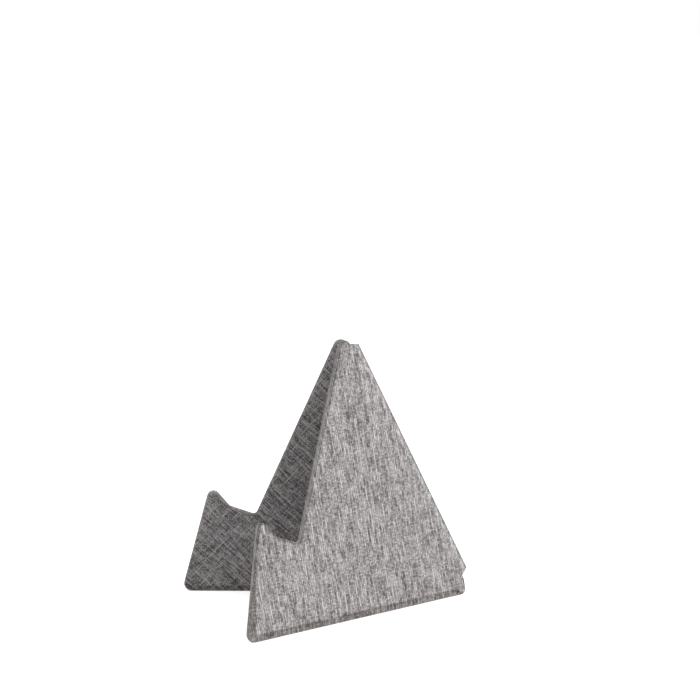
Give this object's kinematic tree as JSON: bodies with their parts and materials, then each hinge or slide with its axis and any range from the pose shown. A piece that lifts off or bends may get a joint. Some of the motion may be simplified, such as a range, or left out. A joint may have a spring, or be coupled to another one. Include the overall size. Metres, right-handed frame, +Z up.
{
  "type": "folding tablet stand",
  "caption": "Cloth-covered folding desk stand: two stiff triangular wings with hooked notches hold a phone or tablet, joined by a creased cloth fold.",
  "frame": {"origin": "on the surface that the stand rests on, at the centre of its bounding box when it stands open", "axes": "+Z up, the device faces -Y and the fold is at +Y, X runs across the stand and the wings mirror in X = 0"},
  "size_m": [0.0986, 0.1006, 0.1014],
  "materials": {
    "board": "plain stiff sheet",
    "outer_cloth": "heathered plain weave",
    "inner_cloth": "dark heathered plain weave",
    "fold_cloth": "two bonded layers of heathered plain weave"
  },
  "bodies": {
    "right_wing": {"right_board": "board", "right_cover": "outer_cloth", "right_lining": "inner_cloth"},
    "left_wing": {"left_board": "board", "left_cover": "outer_cloth", "left_lining": "inner_cloth"},
    "right_fold": {"right_fold_strip": "fold_cloth"},
    "left_fold": {"left_fold_strip": "fold_cloth"}
  },
  "joints": [
    {"name": "fold", "type": "hinge", "parent": "right_wing", "child": "left_wing", "pos_m": [0, 0.02494, 0.05234], "axis": [0, -0.4152, 0.9097], "range_deg": [0, 55.44]},
    {"name": "right_crease", "type": "hinge", "parent": "right_wing", "child": "right_fold", "pos_m": [0.00136, 0.02718, 0.05336], "axis": [0, -0.4152, 0.9097], "range_deg": [0, 53.23]},
    {"name": "left_crease", "type": "hinge", "parent": "left_wing", "child": "left_fold", "pos_m": [-0.00136, 0.02718, 0.05336], "axis": [0, -0.4152, 0.9097], "range_deg": [-53.23, 0]}
  ],
  "couplings": [
    {"joint": "right_crease", "follows": "fold", "ratio": 0.95996},
    {"joint": "left_crease", "follows": "fold", "ratio": -0.95996}
  ]
}
